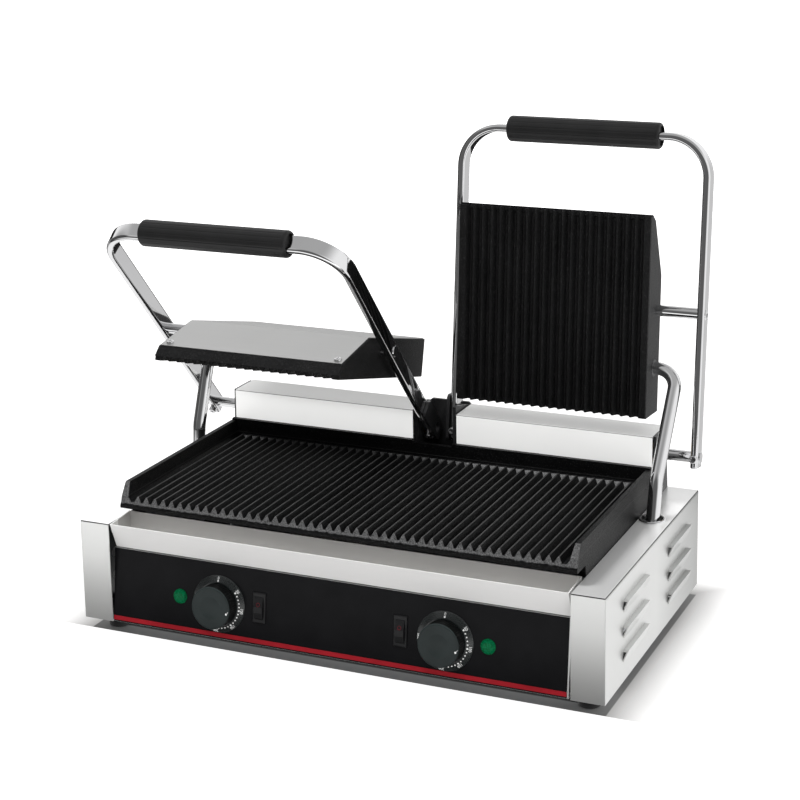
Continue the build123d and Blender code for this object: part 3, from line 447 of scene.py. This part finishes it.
def conduit(side):
    e = plate_pt(side, 239.0, -61.0, 5.0)
    bend, low = TUBE[side]
    sx = SIDE[side]
    pts = [(sx * 226.0, e[1], e[2]), (sx * 265.0, e[1], e[2]), (sx * 265.0, *bend), (sx * 265.0, *low)]
    path, tan = rounded(pts, [22.0, 40.0], 28, 6)
    n = 48
    u = Vector((0, 1, 0)) if abs(tan[0].y) < 0.9 else Vector((0, 0, 1))
    outer, inner = [], []
    for p, t in zip(path, tan):
        u = (u - t * u.dot(t)).normalized()
        w = t.cross(u)
        outer.append([p + u * 7.0 * math.cos(2 * math.pi * k / n) + w * 7.0 * math.sin(2 * math.pi * k / n) for k in range(n)])
        inner.append([p + u * 5.8 * math.cos(2 * math.pi * k / n) + w * 5.8 * math.sin(2 * math.pi * k / n) for k in range(n)])
    rings = outer + inner[::-1] + [outer[0]]
    v, f = bridge(rings[:-1], caps=False)
    m = (len(rings) - 2) * n
    f += [(m + i, m + (i + 1) % n, (i + 1) % n, i) for i in range(n)]
    add_piece(side + "_chrome_conduit", v, f, "chrome", side + "_tube", [side + "_conduit"], "chrome", sharp=50)


# ------------------------------------------------------------------ grips
def grip(side):
    r0, length, xm = 14.0, 169.0, (ARM_IN + ARM_OUT) / 2
    ribs, per = 16, 16
    n = ribs * per

    def radius(k, depth):
        # flat land with a narrow rounded groove between lands
        w = (k % per) / per
        d = abs(w - 0.5) * 2
        return depth * max(0.0, 1.0 - (d / 0.26) ** 2) if d < 0.26 else 0.0

    def ring(x, r, depth):
        out = []
        for k in range(n):
            a = 2 * math.pi * k / n
            q = r - radius(k, depth)
            out.append(lid_pt(side, x, FRAME_L + q * math.cos(a), q * math.sin(a)))
        return out

    x0, x1 = xm - length / 2, xm + length / 2
    prof = [(0.0, 10.6, 0), (0.0, 11.4, 0), (0.35, 12.3, 0), (1.0, 13.1, 0), (2.0, 13.75, 0), (3.0, 14.0, 0), (4.0, 14.0, 0), (6.5, 14.0, 0.36)]
    rings = [ring(x0 + 2.4, 10.2, 0), ring(x0 + 2.4, 10.4, 0)] + [ring(x0 + d, r, g) for d, r, g in prof]
    rings += [ring(x1 - d, r, g) for d, r, g in reversed(prof)] + [ring(x1 - 2.4, 10.4, 0), ring(x1 - 2.4, 10.2, 0)]
    # the recess closes round the flat bar
    sec = []
    for k in range(n):
        a = 2 * math.pi * k / n
        c, s = math.cos(a), math.sin(a)
        q = min(4.06 / max(abs(c), 1e-6), 10.06 / max(abs(s), 1e-6))
        sec.append((q * c, q * s))
    first = [lid_pt(side, x0 + 2.4, FRAME_L + a, b) for a, b in sec]
    last = [lid_pt(side, x1 - 2.4, FRAME_L + a, b) for a, b in sec]
    v, f = bridge([first] + rings + [last], caps=False)
    m = (len(rings) + 1) * n
    f += [(i, (i + 1) % n, m + (i + 1) % n, m + i) for i in range(n)]
    add_piece(side + "_ribbed_grip", v, f, "grip", side + "_frame", [side + "_grip"], "grip", sharp=40)


# ------------------------------------------------------------------ control panel pieces
def lathe(cx, prof, n, wobble=None):
    rings = []
    for j, (r, out) in enumerate(prof):
        ring = []
        for k in range(n):
            a = 2 * math.pi * k / n
            q = r - (wobble(j, k) if wobble else 0.0)
            ring.append(panel_pt(cx + q * math.sin(a), out, KNOB_S + q * math.cos(a)))
        rings.append(ring)
    return rings


def knob(side):
    cx = CTRL_DX + SIDE[side] * KNOB_X
    ribs, per = 60, 6
    n = ribs * per
    back, front = 4.3, 18.5
    R = 21.8
    groove = [0.0, 0.10, 0.42, 0.55, 0.42, 0.10]
    prof = [(11.0, back + 3.0), (11.0, back), (R - 0.6, back), (R - 0.2, back + 0.3), (R, back + 0.9), (R, back + 1.6), (R, front - 4.0), (R, front - 3.0), (R, front - 2.0),
            (R - 0.12, front - 1.3), (R - 0.4, front - 0.6), (R - 0.8, front - 0.2), (R - 1.3, front - 0.03), (R - 1.7, front)]
    cut = [0, 0, 0, 0, 0.5, 1, 1, 0.6, 0, 0, 0, 0, 0, 0]
    # rim, a fine step, then a broad shallow dish
    for r in (17.0, 14.5, 12.6, 11.9):
        prof.append((r, front))
        cut.append(0)
    for r in (11.5, 11.0, 10.2, 9.0, 7.4, 5.8, 4.0, 2.2, 0.8):
        d = math.sqrt(78.0 ** 2 - r * r) - math.sqrt(78.0 ** 2 - 11.5 ** 2)
        prof.append((r, front - d))
        cut.append(0)
    rings = lathe(cx, prof, n, lambda j, k: cut[j] * groove[k % per])
    v, f = bridge(rings)
    lim = 9
    fm = [(1 if i // n < lim else 0) for i in range(len(f) - 2)] + [1, 0]
    add_piece(side + "_turned_knob", v, f, ["knob", "knob_side"], side + "_control", [side + "_knob"], "knob", fm, 38)
    # pointer: a dot near the rim and a short tick over the edge
    vs, fs = [], []

    def prism(points, o0, o1):
        b = len(vs)
        m = len(points)
        vs.extend(panel_pt(x, o0, q) for x, q in points)
        vs.extend(panel_pt(x, o1, q) for x, q in points)
        fs.append(tuple(range(b, b + m)))
        fs.append(tuple(b + m + i for i in reversed(range(m))))
        fs.extend((b + i, b + (i + 1) % m, b + m + (i + 1) % m, b + m + i) for i in range(m))

    def at(r, ang, off=0.0):
        a = math.radians(ang)
        return (cx + r * math.sin(a) + off * math.cos(a), KNOB_S + r * math.cos(a) - off * math.sin(a))

    c = at(18.6, 101.0)
    prism([(c[0] + 1.05 * math.cos(2 * math.pi * i / 20), c[1] + 1.05 * math.sin(2 * math.pi * i / 20)) for i in range(20)], front - 0.1, front + 0.1)
    prism([at(19.3, 97.5, -0.28), at(20.6, 93.0, -0.28), at(20.6, 93.0, 0.28), at(19.3, 97.5, 0.28)], front - 0.5, front + 0.1)
    add_piece(side + "_knob_pointer", vs, fs, "mark", side + "_control", (), "knob", sharp=30)


def dial(side):
    cx = CTRL_DX + SIDE[side] * KNOB_X
    prof = [(5.3, 0.6), (5.3, 3.5), (20.0, 3.5), (21.6, 3.62), (22.5, 3.76), (23.1, 3.72), (23.8, 3.46), (25.4, 2.84), (28.3, 1.71), (28.9, 1.45), (29.4, 1.2), (29.7, 0.92), (29.7, 0.6)]
    rings = lathe(cx, prof, 160)
    v, f = bridge(rings, caps=False)
    n, m = 160, len(prof) - 1
    f += [(m * n + i, m * n + (i + 1) % n, (i + 1) % n, i) for i in range(n)]
    o = add_piece(side + "_dial_ring", v, f, "dial", "base", ["dial_rings"], "dial", sharp=30)
    # printed scale: zero, fifty, then a dot every ten degrees of heat
    vs, fs = [], []

    def surf(r):
        return 3.72 - max(0.0, r - 23.1) * 0.388 + 0.03

    def dot(angle, r, size):
        a = math.radians(angle)
        m = 16
        b = len(vs)
        for lift in (-0.12, 0.08):
            for i in range(m):
                u, w = size * math.cos(2 * math.pi * i / m), size * math.sin(2 * math.pi * i / m)
                q = r + w
                vs.append(panel_pt(cx + q * math.sin(a) + u * math.cos(a), surf(q) + lift, KNOB_S + q * math.cos(a) - u * math.sin(a)))
        fs.append(tuple(range(b, b + m)))
        fs.append(tuple(b + m + i for i in reversed(range(m))))
        fs.extend((b + i, b + (i + 1) % m, b + m + (i + 1) % m, b + m + i) for i in range(m))

    step = 218.0 / 25.0
    dot(0.0, 24.6, 0.95)
    for i in range(26):
        dot(54.0 + i * step, 24.6, 0.95 if i % 5 == 0 else 0.72)

    def label(text, angle):
        cu = bpy.data.curves.new("t", "FONT")
        cu.body = text
        cu.size = 3.9
        cu.align_x, cu.align_y = "CENTER", "CENTER"
        cu.extrude = 0.12
        cu.offset = 0.02
        cu.resolution_u = 4
        ob = bpy.data.objects.new("t", cu)
        bpy.context.scene.collection.objects.link(ob)
        me = bpy.data.meshes.new_from_object(ob.evaluated_get(bpy.context.evaluated_depsgraph_get()))
        a = math.radians(angle)
        b = len(vs)
        for p in me.vertices:
            q = 27.1 + p.co.y
            x = cx + q * math.sin(a) + p.co.x * math.cos(a)
            w = KNOB_S + q * math.cos(a) - p.co.x * math.sin(a)
            vs.append(panel_pt(x, surf(q) + p.co.z, w))
        fs.extend(tuple(b + i for i in p.vertices) for p in me.polygons)
        bpy.data.objects.remove(ob)
        bpy.data.curves.remove(cu)
        bpy.data.meshes.remove(me)

    label("0", 0.0)
    for i, t in enumerate(("50", "100", "150", "200", "250", "300")):
        label(t, 54.0 + i * 5 * step)
    add_piece(side + "_dial_scale", vs, fs, "mark", "base", (), "dial", sharp=30)
    return o


def lens(side):
    cx = CTRL_DX + SIDE[side] * LAMP_X
    prof = [(5.4, -24.0), (5.4, 0.6), (7.7, 0.6), (7.7, 1.3), (7.55, 1.6), (7.25, 1.72), (6.9, 1.75), (6.75, 2.0), (6.6, 2.5), (6.1, 2.9), (5.0, 3.08), (3.0, 3.2), (0.9, 3.25)]
    rings = []
    n = 64
    for r, out in prof:
        rings.append([panel_pt(cx + r * math.sin(2 * math.pi * k / n), out, LAMP_S + r * math.cos(2 * math.pi * k / n)) for k in range(n)])
    v, f = bridge(rings)
    add_piece(side + "_lamp_lens", v, f, "lamp", "base", ["indicator_lamps"], "lamp_green", sharp=35)


def rocker_mark(side):
    cx = CTRL_DX + SIDE[side] * SWITCH_X
    vs, fs = [], []
    n, m = 28, 8
    c_s, slope = 4.0, math.atan2(5.3 - 4.2, 6.0 - 1.5)
    for k in range(n):
        a = 2 * math.pi * k / n
        for j in range(m):
            b = 2 * math.pi * j / m
            r = 1.75 + 0.34 * math.cos(b)
            s = r * math.sin(a)
            out = 0.2 * math.sin(b)
            base = 4.69 - s * math.tan(slope)
            vs.append(panel_pt(cx + r * math.cos(a), base + out, SWITCH_S + c_s + s))
    for k in range(n):
        for j in range(m):
            fs.append((k * m + j, k * m + (j + 1) % m, ((k + 1) % n) * m + (j + 1) % m, ((k + 1) % n) * m + j))
    add_piece(side + "_rocker_ring", vs, fs, "redmark", side + "_switch", (), "black_plastic", sharp=60)


for s in ("left", "right"):
    handle_frame(s)
    conduit(s)
    grip(s)
    knob(s)
    dial(s)
    lens(s)
    rocker_mark(s)


# ------------------------------------------------------------------ camera
def groove_ends():
    # land at the back of the lower plate, where the grooves run out in a slope
    section = [(249.2, 138.2), (251.9, 143.6), (252.5, 144.2), (257.6, 144.2), (258.4, 143.4), (258.5, 138.2)]
    rings = []
    for k in range(94):
        x = -232.5 + 5.0 * k
        drop = 0.35 if k % 2 else 0.0
        rings.append([(x, y, z - (drop if z > 143.0 else 0.0)) for y, z in section])
    add_piece("groove_ends", *bridge(rings), "cast_ends", "base")


groove_ends()


def camera():
    az, el, roll = math.radians(23.49967), math.radians(12.46053), math.radians(-0.83681)
    back = Vector((math.sin(az) * math.cos(el), -math.cos(az) * math.cos(el), math.sin(el)))
    fwd = -back
    right = fwd.cross(Vector((0, 0, 1))).normalized()
    up = right.cross(fwd)
    r2 = right * math.cos(roll) + up * math.sin(roll)
    u2 = up * math.cos(roll) - right * math.sin(roll)
    data = bpy.data.cameras.new("camera")
    data.sensor_width = 36.0
    data.lens = 1915.475 * 36.0 / 800.0
    data.shift_x = (400.0 - 427.382) / 800.0
    data.shift_y = (251.603 - 400.0) / 800.0
    data.clip_start, data.clip_end = 0.05, 200.0
    o = bpy.data.objects.new("camera", data)
    bpy.context.scene.collection.objects.link(o)
    loc = mm((796.742, -1576.024, 815.333))
    o.matrix_world = Matrix(((r2.x, u2.x, back.x, loc.x), (r2.y, u2.y, back.y, loc.y), (r2.z, u2.z, back.z, loc.z), (0, 0, 0, 1)))
    bpy.context.scene.camera = o


camera()


# ------------------------------------------------------------------ stage
def stage():
    def plane(name, x0, x1, y0, y1, z, mat):
        me = bpy.data.meshes.new(name)
        me.from_pydata([(x0, y0, z), (x1, y0, z), (x1, y1, z), (x0, y1, z)], [], [(0, 1, 2, 3)])
        o = bpy.data.objects.new(name, me)
        bpy.context.scene.collection.objects.link(o)
        me.materials.append(mat)
        return o

    # pale paper floor that glows a little far away, where the lamps no longer reach, with a painted shadow under the
    # body and a painted soft shadow along its sides and back
    m = Mat("floor_paper")
    m.b.inputs["Specular IOR Level"].default_value = 0.15
    x, y = m.math("ABSOLUTE", m.height("X"), 0.0), m.height("Y")
    # painted shadow: the paper is darkened under the body and almost black further under it
    under = m.math("MULTIPLY", m.span(x, 1.0, 0.0, 0.2820, 0.2832), m.math("MULTIPLY", m.span(y, 0.0, 1.0, -0.1554, -0.1542), m.span(y, 1.0, 0.0, 0.157, 0.160)))
    painted_shadow_deep = m.math("MULTIPLY", m.span(x, 1.0, 0.0, 0.258, 0.266), m.math("MULTIPLY", m.span(y, 0.0, 1.0, -0.1385, -0.1360), m.span(y, 1.0, 0.0, 0.130, 0.150)))
    tint = m.ramp(m.noise(3.0, 2.0), [(0.3, (0.735, 0.722, 0.712)), (0.7, (0.75, 0.737, 0.727))])
    tint = m.over(under, tint, (0.31, 0.31, 0.31))
    m.link(m.over(painted_shadow_deep, tint, (0.004, 0.004, 0.004)), "Base Color")
    m.link(m.span(m.noise(400.0), 0.6, 0.7), "Roughness")
    ln = m.t.nodes.new("ShaderNodeVectorMath")
    ln.operation = "LENGTH"
    m.t.links.new(m.tc.outputs["Object"], ln.inputs[0])
    m.b.inputs["Emission Color"].default_value = (1, 1, 1, 1)
    # glow: white paper straight in front; along the other edges the glow starts low and ramps up, a painted soft
    # shadow margin
    side = m.math("ADD", m.span(x, 0.0, 0.10, 0.2820, 0.2832), m.span(x, 0.0, 0.54, 0.2832, 0.3190))
    glow_and_painted_shadow = m.math("MAXIMUM", side, m.math("MAXIMUM", m.span(y, 0.90, 0.0, -0.1554, -0.1542), m.span(y, 0.0, 0.64, 0.159, 0.195)))
    glow_and_painted_shadow = m.math("ADD", glow_and_painted_shadow, m.span(ln.outputs["Value"], 0.0, 0.25, 0.33, 0.44))
    m.link(m.math("ADD", glow_and_painted_shadow, m.span(ln.outputs["Value"], 0.0, 0.55, 0.5, 2.4)), "Emission Strength")
    floor = plane("floor", -26.0, 26.0, -26.0, 26.0, 0.0, m.m)
    floor.visible_glossy = False

    # grey sheet just over the floor, seen only in polished faces: its glow is a painted reflection of the floor, with
    # painted shade under the front edge, dark far away and pale in between
    c = Mat("grey_sheet")
    c.set(Roughness=1.0)
    c.b.inputs["Specular IOR Level"].default_value = 0.0
    c.b.inputs["Base Color"].default_value = (0, 0, 0, 1)
    c.b.inputs["Emission Color"].default_value = (1, 1, 1, 1)
    depth = c.span(c.height("Y"), 0.0, 1.0, -2.0, 2.0)
    tone = c.ramp(depth, [((y + 2.0) / 4.0, (g / 1.5,) * 3) for y, g in (
        (-2.0, 0.08), (-1.2, 0.08), (-0.92, 0.35), (-0.70, 1.48), (-0.46, 1.45), (-0.325, 0.66), (-0.25, 0.20), (-0.19, 0.03), (-0.16, 0.06), (-0.14, 1.0), (0.5, 1.0), (2.0, 1.0))])
    left = c.span(c.height("X"), 0.1, 1.5, -1.1, -0.6)
    c.link(c.math("MULTIPLY", tone, left), "Emission Strength")
    sheet = plane("grey_sheet", -1.3, 1.3, -2.0, 0.45, 0.0005, c.m)

    # dark curved wall far behind, seen only in polished faces: it draws the dark rims of the round bars
    d = Mat("dark_wall")
    d.set(Roughness=1.0)
    d.b.inputs["Specular IOR Level"].default_value = 0.0
    d.link(d.ramp(d.noise(2.0, 2.0), [(0.3, (0.010, 0.010, 0.010)), (0.7, (0.02, 0.02, 0.02))]), "Base Color")
    steps = [math.radians(-72.0 + 3.0 * k) for k in range(29)]
    me = bpy.data.meshes.new("dark_wall")
    top = lambda a: 0.85 if a < -0.75 else 0.22 + 0.63 * max(0.0, min(1.0, (-0.55 - a) / 0.2))
    me.from_pydata([(3.2 * math.sin(a), 3.2 * math.cos(a), z) for a in steps for z in (-3.2, top(a))], [], [(2 * k, 2 * k + 2, 2 * k + 3, 2 * k + 1) for k in range(len(steps) - 1)])
    me.materials.append(d.m)
    wall = bpy.data.objects.new("dark_wall", me)
    bpy.context.scene.collection.objects.link(wall)
    for o in (sheet, wall):
        o.visible_camera = o.visible_diffuse = o.visible_shadow = o.visible_transmission = False

    def area(name, loc, aim, sx, sy, power, glossy=True):
        d = bpy.data.lights.new(name, "AREA")
        d.shape = "RECTANGLE"
        d.size, d.size_y = sx, sy
        d.energy = power
        l = bpy.data.objects.new(name, d)
        bpy.context.scene.collection.objects.link(l)
        l.location = loc
        l.rotation_euler = (Vector(aim) - Vector(loc)).to_track_quat("-Z", "Y").to_euler()
        l.visible_camera = False
        l.visible_glossy = glossy
        return l

    key = area("key_box", (-1.25, 0.0, 2.9), (0, 0, 0.1), 0.7, 0.7, 88.0, False)
    fill = area("front_fill", (0.3, -1.25, 2.7), (0, 0.05, 0.17), 2.2, 1.4, 38.0, False)
    # neither lamp throws shadows on the floor or on the hinge covers
    for l in (key, fill):
        flag = bpy.data.collections.new(l.name + "_flag")
        for o in (floor, NODE["left_hinge_cover"], NODE["right_hinge_cover"]):
            flag.objects.link(o)
        for c in flag.collection_objects:
            c.light_linking.link_state = "EXCLUDE"
        l.light_linking.receiver_collection = flag
    # low lamps, each flagged off everything but a hinge cover or the front sheets
    for name, x, power, nodes in (("left_low_fill", -0.35, 106.0, ("left_hinge_cover",)), ("right_low_fill", 0.05, 96.0, ("right_hinge_cover",)),
                                  ("tray_low_fill", -0.15, 17.0, ("drip_tray", "left_cheek"))):
        lamp_low = area(name, (x, -2.75, 1.42), (0, 0.05, 0.2), 0.9, 0.5, power, False)
        lit = bpy.data.collections.new(name + "_lit")
        for node in nodes:
            lit.objects.link(NODE[node])
        lamp_low.light_linking.receiver_collection = lit

    w = bpy.data.worlds.new("studio")
    bpy.context.scene.world = w
    w.use_nodes = True
    t = w.node_tree
    t.nodes.clear()
    out = t.nodes.new("ShaderNodeOutputWorld")
    bg = t.nodes.new("ShaderNodeBackground")
    tc = t.nodes.new("ShaderNodeTexCoord")
    nrm = t.nodes.new("ShaderNodeVectorMath")
    nrm.operation = "NORMALIZE"
    t.links.new(tc.outputs["Generated"], nrm.inputs[0])
    sep = t.nodes.new("ShaderNodeSeparateXYZ")
    t.links.new(nrm.outputs["Vector"], sep.inputs["Vector"])

    def ramp(value, lo, hi, a, b):
        r = t.nodes.new("ShaderNodeMapRange")
        r.interpolation_type = "SMOOTHSTEP"
        for k, v in (("From Min", lo), ("From Max", hi), ("To Min", a), ("To Max", b)):
            r.inputs[k].default_value = v
        t.links.new(value, r.inputs["Value"])
        return r.outputs["Result"]

    def times(a, b):
        n = t.nodes.new("ShaderNodeMath")
        n.operation = "MULTIPLY"
        t.links.new(a, n.inputs[0])
        t.links.new(b, n.inputs[1])
        return n.outputs[0]

    def toward(v):
        d = t.nodes.new("ShaderNodeVectorMath")
        d.operation = "DOT_PRODUCT"
        d.inputs[1].default_value = v
        t.links.new(nrm.outputs["Vector"], d.inputs[0])
        return d.outputs["Value"]

    # pale behind, duller overhead, dark in front and in a stretch to the left
    sky = ramp(sep.outputs["Z"], 0.45, 0.85, 0.95, 0.42)
    front_dark = ramp(toward((0.10, -0.995, 0.0)), 0.45, 0.86, 1.0, 0.12)
    left_dark = ramp(toward((-0.95, -0.30, 0.10)), 0.72, 0.90, 1.0, 0.08)
    right_dull = ramp(toward((0.389, 0.895, -0.216)), 0.90, 0.985, 1.0, 0.66)
    t.links.new(times(times(times(sky, front_dark), left_dark), right_dull), bg.inputs["Strength"])
    bg.inputs["Color"].default_value = (1, 1, 1, 1)
    t.links.new(bg.outputs["Background"], out.inputs["Surface"])
    bpy.context.scene.view_settings.view_transform = "Standard"


stage()
